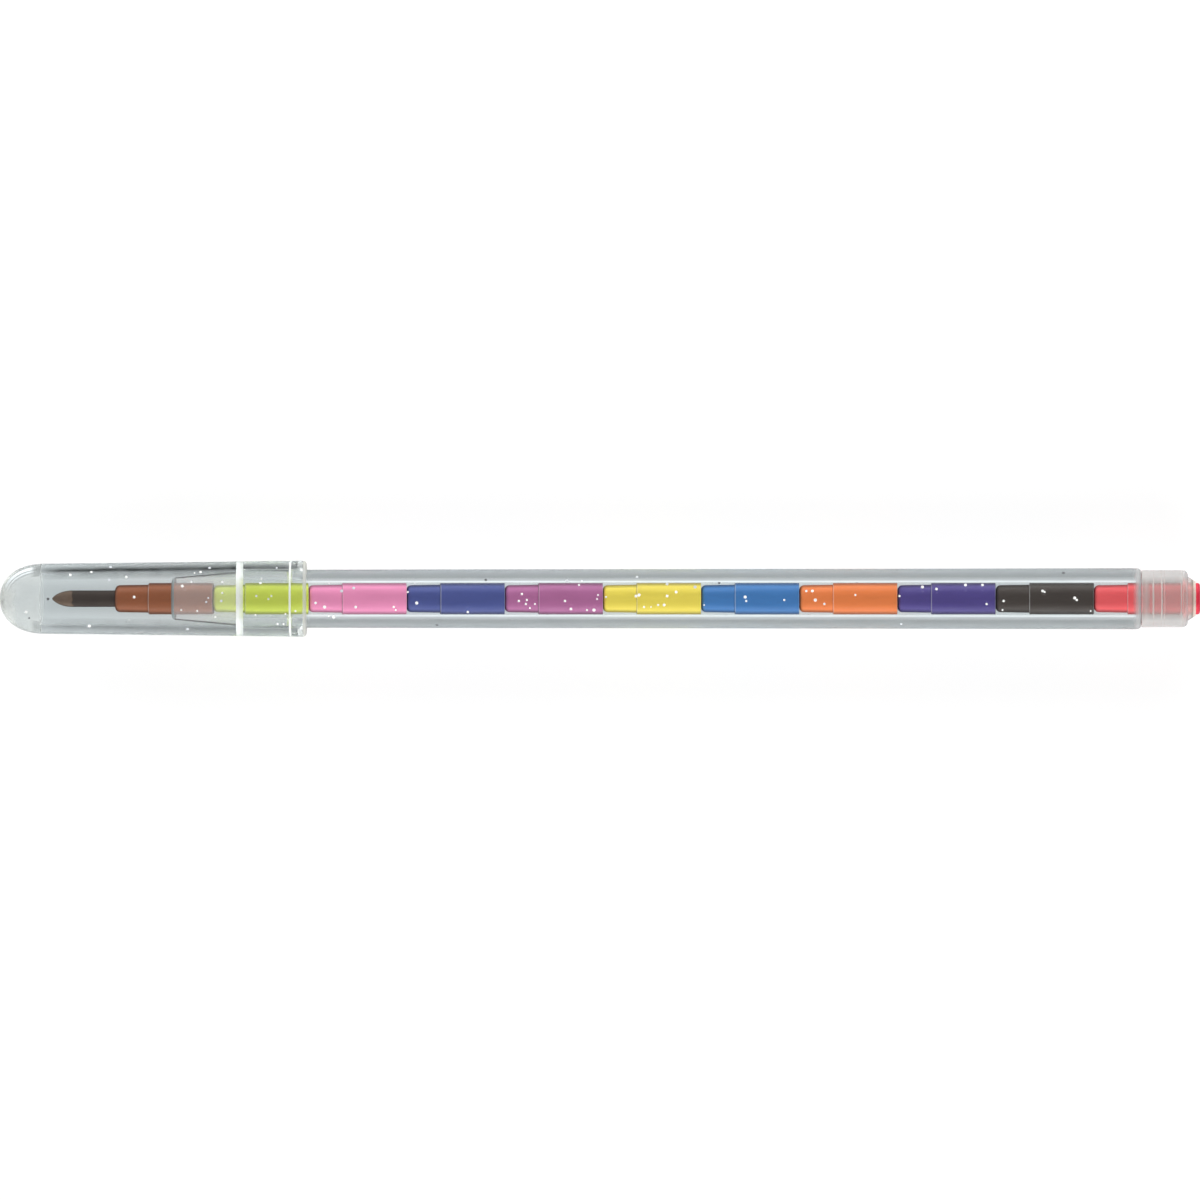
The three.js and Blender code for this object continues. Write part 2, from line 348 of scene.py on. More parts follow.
def milkyBetween(nodes, links, coords, shader, milk):
    # whitish clouds in the plastic, thick at one place along the axis and thin at another
    along = placeRamp(nodes, links, coords, "X", milk["thickAt"], milk["thinAt"],
                      milk["thick"], milk["thin"])
    drawn = stretched(nodes, links, coords, clearLook["cloudStretch"])
    patchy = milk["patchy"]
    clouds = noiseBetween(nodes, links, drawn, clearLook["cloudScale"], patchy, 2 - patchy)
    amount = multiplied(nodes, links, along, clouds)
    dull = addNode(nodes, "ShaderNodeBsdfDiffuse", {"Color": rgba(milk["colour"])})
    return mixedShaders(nodes, links, amount, shader, dull.outputs[0])


def edgeShaded(nodes, links, shader, edge):
    # another tone towards the rim of a round part, where it curves out of the light
    facing = addNode(nodes, "ShaderNodeLayerWeight", {"Blend": 0.5})
    amount = addNode(nodes, "ShaderNodeMapRange", {
        "From Min": edge["from"], "From Max": edge["to"], "To Min": 0.0, "To Max": edge["share"]})
    links.new(facing.outputs["Facing"], amount.inputs["Value"])
    rim = addNode(nodes, "ShaderNodeBsdfDiffuse", {"Color": rgba(edge["colour"])})
    return mixedShaders(nodes, links, amount.outputs["Result"], shader, rim.outputs[0])


def clearPlastic(name, shadings=(), milk=None):
    material, nodes, links = newMaterial(name)
    coords = addNode(nodes, "ShaderNodeTexCoord")
    shader = clearGlass(nodes, links, coords)
    if milk:
        shader = milkyBetween(nodes, links, coords, shader, milk)
    for shading in shadings:
        shader = paintedWallShading(nodes, links, coords, shader, shading)
    finishSurface(nodes, links, lampsPassThrough(nodes, links, shader, clearLook["lampTint"]))
    return material


def seeThrough(nodes, frost):
    # plain see-through plastic, or frosted plastic that blurs what lies behind it
    if not frost:
        return addNode(nodes, "ShaderNodeBsdfTransparent", {"Color": rgba(hazyLook["bodyTint"])})
    return addNode(nodes, "ShaderNodeBsdfPrincipled", {
        "Base Color": rgba(hazyLook["frostTint"]), "Roughness": frost, "IOR": hazyLook["frostIor"],
        "Transmission Weight": 1.0})


def hazyPlastic(name, colour, cover, roughness=0.4, grain=1200.0, edge=None, milk=None, frost=0, fade=None):
    # a see-through body with a pale haze on its surface; cover is the haze's share,
    # which fade lets die away between two places along the axis
    material, nodes, links = newMaterial(name)
    coords = addNode(nodes, "ShaderNodeTexCoord")
    uneven = hazyLook["unevenness"]
    share = noiseBetween(nodes, links, coords.outputs["Object"], grain,
                         cover * (1 - uneven), cover * (1 + uneven))
    if fade:
        along = placeRamp(nodes, links, coords, "X", fade["from"], fade["to"], 1.0, fade["left"])
        share = multiplied(nodes, links, share, along)
    haze = addNode(nodes, "ShaderNodeBsdfPrincipled", {"Base Color": rgba(colour), "Roughness": roughness})
    through = seeThrough(nodes, frost)
    shader = mixedShaders(nodes, links, share, through.outputs[0], haze.outputs[0])
    if milk:
        shader = milkyBetween(nodes, links, coords, shader, milk)
    if edge:
        shader = edgeShaded(nodes, links, shader, edge)
    finishSurface(nodes, links, lampsPassThrough(nodes, links, shader, hazyLook["lampTint"]))
    return material


# where each painted shade and highlight lies along the axis and across it, and how even it is
evenWallShading = {
    "along": (cadLow.x - mm, cadLow.x),
    "sides": (1.0, 1.0),
    "sideSpan": (-3 * mm, 3 * mm),
    "spread": 0.07,
    "grainAlong": 0.1,
    "fromInside": True,
}
# patchy painted shade, stronger on the +Y side than on the -Y side, as the light falls
patchyWallShading = dict(evenWallShading, sides=(0.42, 1.0), spread=0.25, grainAlong=0.6)
wallShadings = {
    "cap": dict(patchyWallShading, wall=capWallShading, along=(capLow.x + 3.8 * mm, capLow.x + 8.5 * mm)),
    "capRear": dict(patchyWallShading, wall=capRearWallShading),
    "barrel": dict(evenWallShading, wall=barrelWallShading, along=(capHigh.x - 2 * mm, capHigh.x + mm)),
    # the dome's painted highlight streak lies on its +Y side only
    "domeHighlightStreak": dict(evenWallShading, wall=domeHighlightStreak, sides=(0.0, 1.0), sideSpan=(0.9 * mm, 2.4 * mm),
                       along=(capLow.x + 4.9 * mm, capLow.x + 4.1 * mm), fromInside=False),
    "domeShadeBand": dict(patchyWallShading, wall=domeShadeBand, sides=(0.6, 1.0), spread=0.2,
                     along=(capLow.x + 4.1 * mm, capLow.x + 4.7 * mm), fromInside=False),
}
# the dome's milky clouds are thickest at its tip: partly the plastic's own milkiness, partly a painted glow
# of light on the tip
domeMilk = {
    "thickAt": capLow.x, "thinAt": capLow.x + 2.4 * mm, "thick": 0.9, "thin": 0.14,
    "colour": (0.95, 0.98, 0.93), "patchy": 0.6}
endMilk = {
    "thickAt": collarLow.x - 0.4 * mm, "thinAt": collarLow.x - 1.25 * mm, "thick": 0.85, "thin": 0.0,
    "colour": (0.5, 0.5, 0.5), "patchy": 0.85}
collarMilk = {
    "thickAt": collarLow.x + 0.1 * mm, "thinAt": collarLow.x + 1.2 * mm, "thick": 0.45, "thin": 0.0,
    "colour": (0.46, 0.43, 0.41), "patchy": 0.85}
stepFade = {"from": capLow.x + 31.85 * mm, "to": capLow.x + 32.46 * mm, "left": 0.55}
# painted shade: a dark outline along the edges of the nose
noseOutlineShade = {"from": 0.62, "to": 0.78, "share": 0.75, "colour": (0.04, 0.04, 0.04)}
# painted shade: a darker rim on the lip
lipRimShade = {"from": 0.7, "to": 0.85, "share": 0.4, "colour": (0.3, 0.3, 0.3)}
collarRim = {"from": 0.14, "to": 0.38, "share": 0.32, "colour": (0.82, 0.82, 0.82)}
markColour = (0.95, 0.97, 0.96)
noseColour = (0.83, 0.79, 0.79)
collarGrain = 1500.0
collarBlur = 0.22

# the dome and the bores carry painted shade and highlight over the clear plastic
domeClear = clearPlastic("milky dome with painted light and shade", (wallShadings["domeHighlightStreak"], wallShadings["domeShadeBand"]), domeMilk)
capClear = clearPlastic("clear cap plastic")
capBore = clearPlastic("clear cap bore", (wallShadings["cap"],))
capRearBore = clearPlastic("clear cap bore over the barrel", (wallShadings["capRear"],))
barrelClear = clearPlastic("clear barrel plastic", milk=endMilk)
barrelBore = clearPlastic("clear barrel bore", (wallShadings["barrel"],))
# painted highlight: a white band where the inner bead catches the light
beadHighlight = hazyPlastic("painted highlight on the bead", markColour, 0.9, grain=900.0)
# painted highlight: a white band on the step inside the cap, where it gathers light
capStepHighlight = hazyPlastic("painted highlight on the step in the cap", markColour, 0.95, grain=900.0, fade=stepFade)
rimMark = hazyPlastic("pale rim", (0.66, 0.66, 0.62), 0.5, roughness=0.3, grain=900.0)
paleEnd = hazyPlastic("pale cavity end", markColour, 0.4, grain=500.0)
noseBore = hazyPlastic("hazy nose bore", noseColour, 0.13, roughness=0.45)
noseFront = hazyPlastic("nose front edge", linear(140, 152, 155), 0.85, roughness=0.45)
noseHaze = hazyPlastic("hazy nose", noseColour, 0.18, roughness=0.45, edge=noseOutlineShade)
neckHaze = hazyPlastic("frosted neck", (0.62, 0.6, 0.58), 0.05)
# painted highlight and painted shade rings on the neck
neckHighlightRing = hazyPlastic("painted highlight ring on the neck", (0.95, 0.95, 0.93), 0.7)
neckShadeRing = hazyPlastic("painted shade ring on the neck", (0.3, 0.2, 0.2), 0.5)
lipFrost = hazyPlastic("frosted lip", (0.6, 0.56, 0.52), 0.38, edge=lipRimShade)
lipLine = hazyPlastic("dim line on the lip", (0.3, 0.31, 0.25), 0.62)
lipEdge = hazyPlastic("cream edge of the lip", (0.9, 0.84, 0.72), 0.75)
collarFrost = hazyPlastic("frosted collar", (0.58, 0.59, 0.56), 0.3, roughness=0.5, grain=collarGrain,
                          edge=collarRim, milk=collarMilk, frost=collarBlur)
collarBore = hazyPlastic("inside of the frosted collar", (0.7, 0.69, 0.66), 0.05, roughness=0.5,
                         grain=collarGrain, frost=collarBlur)
collarRing = hazyPlastic("bright ring under the collar", (0.85, 0.82, 0.78), 0.42, roughness=0.5,
                         grain=collarGrain, frost=collarBlur)
print("plastics made")


# cap

capSizes = {
    "domeLength": 6.0,
    "domePower": 2.2,
    "domeSteps": 14,
    "frontRadius": 4.67,
    "mouthRadius": 5.07,
    "mouthRound": 0.5,
    "endThickness": 5.4,
    "endBoreRadius": 3.4,
    "endRound": 0.12,
    "boreRadius": 3.98,
    "stepRadius": 3.72,
    "stepStart": 31.53,
    "stepEnd": 32.46,
    "beadInset": 2.37,
    "beadWidth": 0.53,
    "beadRadius": 3.935,
    "beadRound": 0.1,
    "chamferLength": 0.45,
    "chamferDepth": 0.27,
    "solidLength": 5.0,       # from here on: where the finish changes
    "insideRadius": 4.1,
    "paleEndLength": 6.0,
    "paleEndRadius": 3.2,
    "domeInnerRadius": 3.6,
}
capStart, capMouth = capLow.x / mm, capHigh.x / mm


def capSideRadius(x):
    # the outside of the cap behind its dome
    sizes = capSizes
    along = (x - capStart - sizes["domeLength"]) / (capMouth - capStart - sizes["domeLength"])
    return sizes["frontRadius"] + along * (sizes["mouthRadius"] - sizes["frontRadius"])


def domeCorners():
    # the domed end, with one edge where the bore ends inside it
    sizes = capSizes
    power = 2 / sizes["domePower"]
    cavityAngle = math.acos((1 - sizes["endThickness"] / sizes["domeLength"]) ** (1 / power))
    angles = [step / sizes["domeSteps"] * math.pi / 2 for step in range(sizes["domeSteps"])]
    corners = []
    for angle in sorted(angles + [cavityAngle]):
        x = capStart + sizes["domeLength"] * (1 - math.cos(angle) ** power)
        corners.append((x, sizes["frontRadius"] * math.sin(angle) ** power, 0))
    return corners


def capCorners(bead, halfBead):
    sizes = capSizes
    start, mouth = capStart, capMouth
    return domeCorners() + [
        (start + sizes["domeLength"], sizes["frontRadius"], 0),
        (start + sizes["stepEnd"], capSideRadius(start + sizes["stepEnd"]), 0),
        (mouth, sizes["mouthRadius"], sizes["mouthRound"]),
        (mouth, sizes["boreRadius"] + sizes["chamferDepth"], 0),
        (mouth - sizes["chamferLength"], sizes["boreRadius"], 0),
        (bead + halfBead, sizes["boreRadius"], 0),
        (bead, sizes["beadRadius"], sizes["beadRound"]),
        (bead - halfBead, sizes["boreRadius"], 0),
        (start + sizes["stepEnd"], sizes["boreRadius"], 0),
        (start + sizes["stepStart"], sizes["stepRadius"], 0),
        (start + sizes["endThickness"], sizes["endBoreRadius"], sizes["endRound"]),
        (start + sizes["endThickness"], 0, 0),
    ]


def paintCap(piece, bead, halfBead):
    sizes = capSizes
    inside = sizes["insideRadius"]
    stepFrom, stepTo = capStart + sizes["stepStart"], capStart + sizes["stepEnd"]
    solidEnd, domeEnd = capStart + sizes["solidLength"], capStart + sizes["endThickness"]
    paintFaces(piece, capBore, lambda x, radius: radius < inside and x > solidEnd)
    # painted highlight on the step
    paintFaces(piece, capStepHighlight, lambda x, radius: stepFrom < x < stepTo and radius < inside)
    paintFaces(piece, capRearBore, lambda x, radius: x > stepTo and radius < inside)
    # painted highlight on the inner bead
    paintFaces(piece, beadHighlight, lambda x, radius: bead < x < bead + halfBead and radius < inside)
    paintFaces(piece, rimMark, lambda x, radius: x > capMouth - sizes["mouthRound"])
    paintFaces(piece, paleEnd, lambda x, radius: radius < sizes["paleEndRadius"]
               and solidEnd < x < capStart + sizes["paleEndLength"])
    paintFaces(piece, domeClear, lambda x, radius: x < domeEnd
               and (radius > sizes["domeInnerRadius"] or x < solidEnd))


def makeCap():
    bead = capMouth - capSizes["beadInset"]
    halfBead = capSizes["beadWidth"] / 2
    looks = [capClear, capBore, beadHighlight, paleEnd, domeClear, capRearBore, rimMark, capStepHighlight]
    piece = turned("capShell", capCorners(bead, halfBead), looks, segments=128, closed=False)
    paintCap(piece, bead, halfBead)
    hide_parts("cap")
    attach(piece, "cap")


makeCap()
print("cap made")


# barrel with its hazy nose and its neck

barrelSizes = {
    "noseLength": 8.9,
    "noseBoreRadius": 2.18,
    "noseTipRadius": 2.8,
    "noseTipRound": 0.4,
    "noseGripLength": 1.6,
    "noseMouthChamfer": 0.12,
    "noseEndRadius": 3.64,
    "shoulderLength": 0.65,
    "frontRadius": 3.86,
    "rearRadius": 4.06,
    "endRound": 0.5,
    "boreFrontRadius": 2.62,
    "boreRearRadius": 2.7,
    "neckRadius": 3.25,
    "neckLength": 5.38,
    "neckEndRound": 0.15,
    "beadHeight": 0.06,
    "beadWidth": 0.26,
    "beadOffsets": (0.75, 1.6, 2.8),
    "insideRadius": 2.75,     # from here on: where the finish changes
    "noseWallRadius": 2.7,
    "noseFrontRadius": 2.3,
    "neckWithin": 3.7,
    "neckEndRadius": 2.72,
    "beadInnerRadius": 3.2,
}
barrelTip, neckEnd = barrelLow.x / mm, barrelHigh.x / mm
barrelShoulder = neckEnd - barrelSizes["neckLength"]
noseEnd = barrelTip + barrelSizes["noseLength"]


def barrelCorners():
    sizes = barrelSizes
    tip, shoulder, halfBead = barrelTip, barrelShoulder, sizes["beadWidth"] / 2
    corners = [
        (tip + sizes["noseMouthChamfer"], sizes["noseBoreRadius"], 0),
        (tip, sizes["noseBoreRadius"] + sizes["noseMouthChamfer"], 0),
        (tip, sizes["noseTipRadius"], sizes["noseTipRound"]),
        (noseEnd, sizes["noseEndRadius"], 0),
        (noseEnd + sizes["shoulderLength"], sizes["frontRadius"], 0),
        (shoulder, sizes["rearRadius"], sizes["endRound"]),
        (shoulder, sizes["neckRadius"], 0),
    ]
    for offset in sizes["beadOffsets"]:
        bead = shoulder + offset
        corners += [
            (bead - halfBead, sizes["neckRadius"], 0),
            (bead, sizes["neckRadius"] + sizes["beadHeight"], 0),
            (bead + halfBead, sizes["neckRadius"], 0),
        ]
    return corners + [
        (neckEnd, sizes["neckRadius"], sizes["neckEndRound"]),
        (neckEnd, sizes["boreRearRadius"], 0),
        (shoulder, sizes["boreRearRadius"], 0),
        (noseEnd, sizes["boreFrontRadius"], 0),
        (tip + sizes["noseGripLength"], sizes["noseBoreRadius"], 0),
    ]


def paintBarrel(piece):
    sizes = barrelSizes
    noseWall, onBead = sizes["noseWallRadius"], sizes["beadInnerRadius"]
    neckStart = barrelShoulder - meshSet["hair"]
    frontEnd, ringStart = barrelTip + sizes["noseTipRound"], neckEnd - sizes["neckEndRound"]
    paintFaces(piece, barrelBore, lambda x, radius: radius < sizes["insideRadius"])
    paintFaces(piece, noseHaze, lambda x, radius: x < noseEnd and radius > noseWall)
    paintFaces(piece, noseBore, lambda x, radius: x < noseEnd and radius < noseWall)
    paintFaces(piece, noseFront, lambda x, radius: x < frontEnd and radius > sizes["noseFrontRadius"])
    paintFaces(piece, neckHaze, lambda x, radius: x > neckStart and radius < sizes["neckWithin"])
    # painted highlight on the rounded end of the neck
    paintFaces(piece, neckHighlightRing, lambda x, radius: x > ringStart and radius > sizes["neckEndRadius"])
    for offset in sizes["beadOffsets"]:
        bead, halfBead = barrelShoulder + offset, sizes["beadWidth"] / 2
        # each bead: painted highlight on its front half, painted shade on its rear half
        paintFaces(piece, neckHighlightRing, lambda x, radius: bead - halfBead < x < bead and radius > onBead)
        paintFaces(piece, neckShadeRing, lambda x, radius: bead < x < bead + halfBead and radius > onBead)


def makeBarrel():
    looks = [barrelClear, barrelBore, noseHaze, neckHaze, noseBore, noseFront, neckHighlightRing, neckShadeRing]
    piece = turned("barrelTube", barrelCorners(), looks, segments=128)
    paintBarrel(piece)
    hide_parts("barrel")
    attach(piece, "barrel")


makeBarrel()
print("barrel made")


# frosted collar with its clear lip

collarSizes = {
    "length": 6.15,
    "radius": 3.8,
    "frontRound": 0.08,
    "boreRadius": 3.4,
    "endWall": 0.7,
    "endRound": 0.75,
    "gripRadius": 2.18,
    "lipBaseRadius": 2.95,
    "lipEndRadius": 2.28,
    "lipLineStart": 0.58,
    "lipLineEnd": 0.34,
    "ringOffsets": (1.5, 2.52, 2.95, 5.38),
    "ringWidth": 0.1,
    "ringDepth": 0.05,
}
collarStart, lipEnd = collarLow.x / mm, collarHigh.x / mm
collarEnd = collarStart + collarSizes["length"]
lineFrom, lineTo = lipEnd - collarSizes["lipLineStart"], lipEnd - collarSizes["lipLineEnd"]


def lipRadius(x):
    sizes = collarSizes
    along = (x - collarEnd) / (lipEnd - collarEnd)
    return sizes["lipBaseRadius"] + along * (sizes["lipEndRadius"] - sizes["lipBaseRadius"])


def collarCorners():
    sizes = collarSizes
    corners = [
        (collarStart, sizes["boreRadius"], 0),
        (collarStart, sizes["radius"], sizes["frontRound"]),
    ]
    for offset in sizes["ringOffsets"]:
        ring = collarStart + offset
        corners += [(ring, sizes["radius"], 0), (ring + sizes["ringWidth"], sizes["radius"], 0)]
    return corners + [
        (collarEnd, sizes["radius"], sizes["endRound"]),
        (collarEnd, sizes["lipBaseRadius"], 0),
        (lineFrom, lipRadius(lineFrom), 0),
        (lineTo, lipRadius(lineTo), 0),
        (lipEnd, sizes["lipEndRadius"], 0),
        (lipEnd, sizes["gripRadius"], 0),
        (collarEnd - sizes["endWall"], sizes["gripRadius"], 0),
        (collarEnd - sizes["endWall"], sizes["boreRadius"], 0),
    ]


def paintCollar(piece):
    sizes, hair = collarSizes, meshSet["hair"]
    surface = sizes["radius"] - sizes["ringDepth"]
    paintFaces(piece, collarBore, lambda x, radius: radius < sizes["boreRadius"] + hair)
    paintFaces(piece, lipFrost, lambda x, radius: x > collarEnd + hair)
    for offset in sizes["ringOffsets"]:
        ringFrom, ringTo = collarStart + offset, collarStart + offset + sizes["ringWidth"]
        paintFaces(piece, collarRing, lambda x, radius: ringFrom < x < ringTo and radius > surface)
    paintFaces(piece, lipEdge, lambda x, radius: x > lineTo)
    paintFaces(piece, lipLine, lambda x, radius: lineFrom < x < lineTo)


def makeCollar():
    looks = [collarFrost, lipFrost, lipLine, lipEdge, collarBore, collarRing]
    piece = turned("tailCollar", collarCorners(), looks, segments=112)
    paintCollar(piece)
    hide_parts("tail_collar")
    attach(piece, "barrel")


makeCollar()
print("collar made")


# glitter in the clear walls
# where the photo shows flakes: along and across the picture, in its pixels, and how bright
flakeTones = {"white": (0.97, 0.97, 0.95), "silver": (0.62, 0.64, 0.68), "dark": (0.1, 0.1, 0.11)}

capFlakes = {
    "white": [(92, 572), (71, 575), (127, 577), (90, 626), (27, 612), (195, 573), (201, 572), (192, 582),
              (183, 586), (223, 582), (223, 593), (182, 610), (198, 611), (216, 617), (262, 579), (261, 583),
              (256, 615), (286, 614), (278, 624), (284, 624), (296, 611), (135, 597)],
    "silver": [(110, 580), (111, 567), (210, 568), (209, 598), (207, 602), (222, 601), (257, 596),
               (269, 599), (272, 596), (277, 568), (188, 629)],
    "dark": [(30, 618), (49, 599)],
}

barrelFlakes = {
    "white": [(316, 603), (325, 607), (356, 607), (394, 607), (396, 610), (329, 616), (334, 617), (408, 592),
              (417, 603), (468, 612), (522, 594), (519, 601), (527, 600), (526, 604), (530, 608), (535, 604),
              (565, 601), (579, 585), (571, 609), (587, 610), (594, 610), (597, 599), (598, 595), (606, 597),
              (636, 596), (639, 595), (644, 607), (651, 607), (658, 605), (664, 605), (667, 596), (676, 592),
              (704, 605), (745, 597), (746, 601), (784, 600), (806, 591), (812, 591), (815, 600), (824, 604),
              (855, 595), (899, 596), (922, 587), (936, 589), (965, 585), (982, 585), (986, 604), (1003, 601),
              (1002, 610), (1042, 591), (1044, 592), (1074, 598), (1076, 600), (1090, 611)],
    "silver": [(342, 591), (354, 588), (567, 581), (582, 581), (667, 584), (695, 587), (637, 577),
               (901, 624)],
    "dark": [(486, 580), (437, 625), (719, 583), (1063, 573), (897, 570)],
}

glitterSizes = {
    "smallest": 0.13,
    "largest": 0.24,
    "thickness": 0.025,
    "corners": (4, 6, 6),
    "tilt": 0.1,
    "twist": 6,
    "standUp": 0.25,
    "sidewaysMost": 0.97,
    "hiddenPerMillimetre": 0.9,
    "hiddenDepth": 0.3,
    "hiddenArcs": ((math.pi, 0.42), (1.95, 0.3), (-1.95, 0.3)),
    "hiddenTones": (0, 0, 0, 1, 2),
}
# glow: the flakes give off light of their own, a painted glint
glitterLook = {"grainScale": 2500.0, "shade": (0.85, 1.05), "roughness": 0.35, "glow": 0.25}
# flakes that the photo doesn't show: between which places, and the seed of their places
hiddenFlakes = {
    "cap": {"from": -64, "to": -40, "seed": 11},
    "barrel": {"from": -45, "to": 71, "seed": 12},
}


def flakeMaterial(tone):
    material, nodes, links = newMaterial(f"{tone} glitter")
    coords = addNode(nodes, "ShaderNodeTexCoord")
    look = glitterLook
    shade = noiseBetween(nodes, links, coords.outputs["Object"], look["grainScale"],
                         *look["shade"], detail=1.0)
    # painted glint: each flake glows in its own tone
    shader = addNode(nodes, "ShaderNodeBsdfPrincipled", {
        "Roughness": look["roughness"], "Emission Color": rgba(flakeTones[tone]),
        "Emission Strength": look["glow"]})
    links.new(shadedColour(nodes, links, flakeTones[tone], shade), shader.inputs["Base Color"])
    finishSurface(nodes, links, shader.outputs[0])
    return material


flakeLooks = [flakeMaterial(tone) for tone in flakeTones]


def addFlake(bm, chance, x, radius, angle, slotNumber):
    # a thin plate that lies roughly along the wall
    sizes = glitterSizes
    size = chance.uniform(sizes["smallest"], sizes["largest"])
    made = bmesh.ops.create_cone(bm, cap_ends=True, segments=chance.choice(sizes["corners"]),
                                 radius1=size * mm, radius2=size * mm, depth=sizes["thickness"] * mm)
    verts = made["verts"]
    tilt, twist = sizes["tilt"], sizes["twist"]
    turn = Euler((chance.uniform(-tilt, tilt), chance.uniform(-tilt, tilt), chance.uniform(0, twist)))
    bmesh.ops.rotate(bm, verts=verts, cent=(0, 0, 0), matrix=turn.to_matrix())
    lean = Matrix.Rotation(sizes["standUp"] * math.sin(angle), 3, "X")
    bmesh.ops.rotate(bm, verts=verts, cent=(0, 0, 0), matrix=lean)
    bmesh.ops.translate(bm, verts=verts, vec=(x * mm, 0, radius * mm))
    bmesh.ops.rotate(bm, verts=verts, cent=(0, 0, 0), matrix=Matrix.Rotation(-angle, 3, "X"))
    for face in {face for vert in verts for face in vert.link_faces}:
        face.material_index = slotNumber


def makeGlitter(name, body, flakes, outerRadius):
    sizes, hidden = glitterSizes, hiddenFlakes[body]
    chance = random.Random(hidden["seed"])
    pixel = (cadHigh.x - cadLow.x) / mm / photoSet["width"]
    most = sizes["sidewaysMost"]
    bm = bmesh.new()
    for slotNumber, tone in enumerate(flakeTones):
        for column, row in flakes[tone]:
            x = cadLow.x / mm + column * pixel
            radius = outerRadius(x)
            across = (photoSet["axisRow"] - row) * pixel / radius
            addFlake(bm, chance, x, radius, math.asin(max(-most, min(most, across))), slotNumber)
    for number in range(int((hidden["to"] - hidden["from"]) * sizes["hiddenPerMillimetre"])):
        x = chance.uniform(hidden["from"], hidden["to"])
        middle, reach = chance.choice(sizes["hiddenArcs"])
        angle = middle + chance.uniform(-reach, reach)
        radius = outerRadius(x) - sizes["hiddenDepth"]
        addFlake(bm, chance, x, radius, angle, chance.choice(sizes["hiddenTones"]))
    piece = finishMesh(name, bm, flakeLooks)
    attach(piece, body)


def capOuterRadius(x):
    sizes = capSizes
    along = (x - capLow.x / mm) / ((capHigh.x - capLow.x) / mm)
    dome = min(1.0, (x - capLow.x / mm) / sizes["domeLength"])
    bulge = (1 - (1 - dome) ** sizes["domePower"]) ** (1 / sizes["domePower"])
    return (sizes["frontRadius"] + along * (sizes["mouthRadius"] - sizes["frontRadius"])) * bulge


def barrelOuterRadius(x):
    sizes = barrelSizes
    along = (x - barrelLow.x / mm) / ((barrelHigh.x - barrelLow.x) / mm)
    return sizes["frontRadius"] + along * (sizes["rearRadius"] - sizes["frontRadius"])


makeGlitter("capGlitter", "cap", capFlakes, capOuterRadius)
makeGlitter("barrelGlitter", "barrel", barrelFlakes, barrelOuterRadius)
print("glitter made")


# crayons: sleeve and wax, each in its own colour

crayonColours = {
    "brown": {"sleeve": (150, 87, 55), "wax": (64, 55, 51)},
    "lime": {"sleeve": (217, 229, 86), "wax": (164, 191, 60)},
    "pink": {"sleeve": (247, 149, 193), "wax": (221, 127, 171)},
    "dark_blue": {"sleeve": (76, 87, 152), "wax": (52, 69, 138)},
    "purple": {"sleeve": (184, 108, 158), "wax": (147, 80, 127)},
    "yellow": {"sleeve": (250, 227, 90), "wax": (230, 205, 51)},
    "blue": {"sleeve": (66, 126, 192), "wax": (42, 107, 174)},
    "orange": {"sleeve": (247, 134, 72), "wax": (218, 112, 42)},
    "violet": {"sleeve": (82, 69, 140), "wax": (67, 56, 125)},
    "black": {"sleeve": (69, 61, 57), "wax": (43, 39, 37)},
    "red": {"sleeve": (243, 93, 98), "wax": (196, 47, 61)},
}

sleeveSizes = {
    "leadSeatDepth": 3.8,
    "leadBoreRadius": 1.17,
    "frontLength": 4.45,
    "frontRadius": 1.87,
    "frontDraft": 0.07,
    "shoulderRound": 0.85,
    "stepRound": 0.14,
    "radius": 2.1,
    "socketFloor": 4.2,
    "socketRadius": 1.4,
    "mouthChamfer": 0.15,
    "rearRound": 0.06,
    "rearReach": 0.09,
    "lastRearRound": 0.35,
    "bareEnd": 0.75,
    "rimFromRadius": 1.9,
}
sleeveLook = {
    "grainScale": 900.0,
    "grainAlong": 0.12,
    "shade": (0.95, 1.05),
    "roughness": (0.3, 0.4),
    "ior": 1.59,
    "specular": 0.36,
    "stepEdgeHighlight": 0.22,
    "bareEndColour": (232, 52, 76),
    "edgeFrom": 0.34,
    "edgeTo": 0.62,
    "edgeShare": 0.85,
    "bareEdgeShare": 0.2,
}
leadSizes = {
    "radius": 1.1,
    "pointLength": 2.7,
    "pointSteps": 12,
    "pointSpacing": 1.3,
    "pointPower": 0.7,
}
waxLook = {
    "grainScale": 1500.0,
    "grainDetail": 4.0,
    "grainRoughness": 0.6,
    "scallopScale": 1100.0,
    "scallopDepth": 0.3,
    "pointBlend": 0.05,
    "pointShade": 0.9,
    "paleLift": (0.17, 0.12, 0.085),
    "darkLift": (0.055, 0.03, 0.015),
    "bumpStrength": 0.3,
    "bumpDepth": 0.03,
    "roughness": 0.55,
    "ior": 1.44,
    "specular": 0.3,
    "edgeFrom": 0.5,
    "edgeTo": 0.7,
    "edgeShare": 0.7,
}
edgeDarkness = 0.25


def paintedEdgeShade(look, colour, share):
    # painted shade: the part's own colour, darker, where its surface curves away from the light
    return {"from": look["edgeFrom"], "to": look["edgeTo"], "share": share,
            "colour": tuple(edgeDarkness * part for part in colour)}


def sleevePlastic(name, colour, edgeShare):
    material, nodes, links = newMaterial(name)
    look = sleeveLook
    coords = addNode(nodes, "ShaderNodeTexCoord")
    drawn = stretched(nodes, links, coords, look["grainAlong"])
    shade = noiseBetween(nodes, links, drawn, look["grainScale"], *look["shade"])
    rough = noiseBetween(nodes, links, drawn, look["grainScale"], *look["roughness"])
    shader = addNode(nodes, "ShaderNodeBsdfPrincipled", {
        "IOR": look["ior"], "Specular IOR Level": look["specular"]})
    links.new(shadedColour(nodes, links, colour, shade), shader.inputs["Base Color"])
    links.new(rough, shader.inputs["Roughness"])
    edge = paintedEdgeShade(look, colour, edgeShare)
    finishSurface(nodes, links, edgeShaded(nodes, links, shader.outputs[0], edge))
    return material


